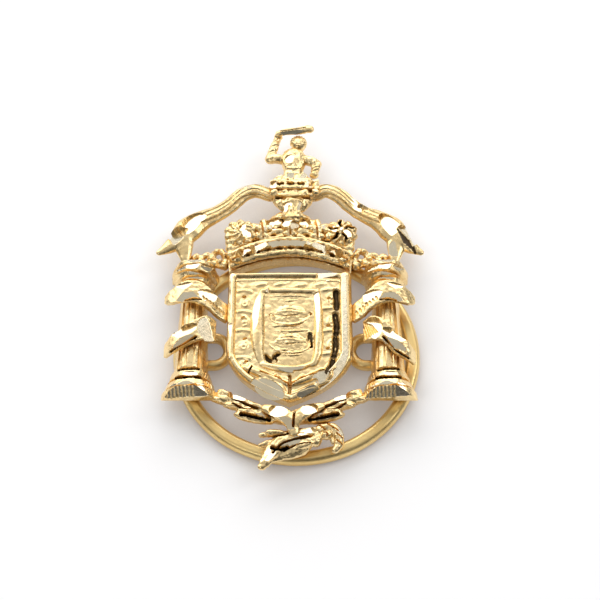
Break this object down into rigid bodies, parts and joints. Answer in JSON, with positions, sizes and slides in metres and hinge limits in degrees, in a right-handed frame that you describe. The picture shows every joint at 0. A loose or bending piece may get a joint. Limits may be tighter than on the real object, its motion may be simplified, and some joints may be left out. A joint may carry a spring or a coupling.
{
  "type": "cap badge",
  "caption": "Pierced gold coat-of-arms cap badge: shield, pillars, crown, ribbons and crest figure soldered to a wire ring with hinged wire pin loops at its back.",
  "frame": {"origin": "the middle of the badge's outline, in the plane of the ring's filed back", "axes": "+Z out of the front of the badge, +Y to its top, +X to the right seen from the front"},
  "size_m": [0.0328, 0.0482, 0.005],
  "materials": {
    "polished_gold": "cast yellow gold, polished on the high spots, darker in the hollows",
    "cut_gold": "bright diamond-cut facets in yellow gold",
    "satin_gold": "drawn gold wire with a soft satin polish"
  },
  "bodies": {
    "badge": {"base_left": "cut_gold", "base_right": "cut_gold", "bowl_lower": "polished_gold", "bowl_upper": "polished_gold", "branch_left": "polished_gold", "branch_right": "polished_gold", "branch_tie": "cut_gold", "capital_left": "cut_gold", "capital_right": "cut_gold", "corner_leaf_left": "polished_gold", "corner_leaf_right": "polished_gold", "crest_footing": "polished_gold", "crest_tower": "polished_gold", "crest_wreath": "polished_gold", "crown_band": "cut_gold", "crown_body": "polished_gold", "crown_knob": "polished_gold", "dragon_body": "polished_gold", "dragon_neck": "polished_gold", "figure_head": "polished_gold", "figure_torso": "polished_gold", "fleuron_left": "polished_gold", "fleuron_right": "polished_gold", "hinge_tube_left": "satin_gold", "hinge_tube_right": "satin_gold", "inner_field": "polished_gold", "inner_rim": "cut_gold", "knife": "cut_gold", "lower_wrap_left": "cut_gold", "lower_wrap_right": "cut_gold", "lowered_arm": "polished_gold", "raised_arm": "polished_gold", "ribbon_left": "cut_gold", "ribbon_right": "cut_gold", "ring_frame": "satin_gold", "rosette_left": "polished_gold", "rosette_right": "polished_gold", "shaft_left": "polished_gold", "shaft_right": "polished_gold", "shield_border": "polished_gold", "shield_plate": "polished_gold", "shield_rim": "cut_gold", "upper_wrap_left": "cut_gold", "upper_wrap_right": "cut_gold"},
    "loop_left": {"lug_loop_left": "satin_gold"},
    "loop_right": {"lug_loop_right": "satin_gold"}
  },
  "joints": [
    {"name": "loop_left_hinge", "type": "hinge", "parent": "badge", "child": "loop_left", "pos_m": [-0.0104, -0.0077, 0.00075], "axis": [0, 1, 0], "range_deg": [0, 90]},
    {"name": "loop_right_hinge", "type": "hinge", "parent": "badge", "child": "loop_right", "pos_m": [0.0104, -0.0077, 0.00075], "axis": [0, -1, 0], "range_deg": [0, 90]}
  ]
}
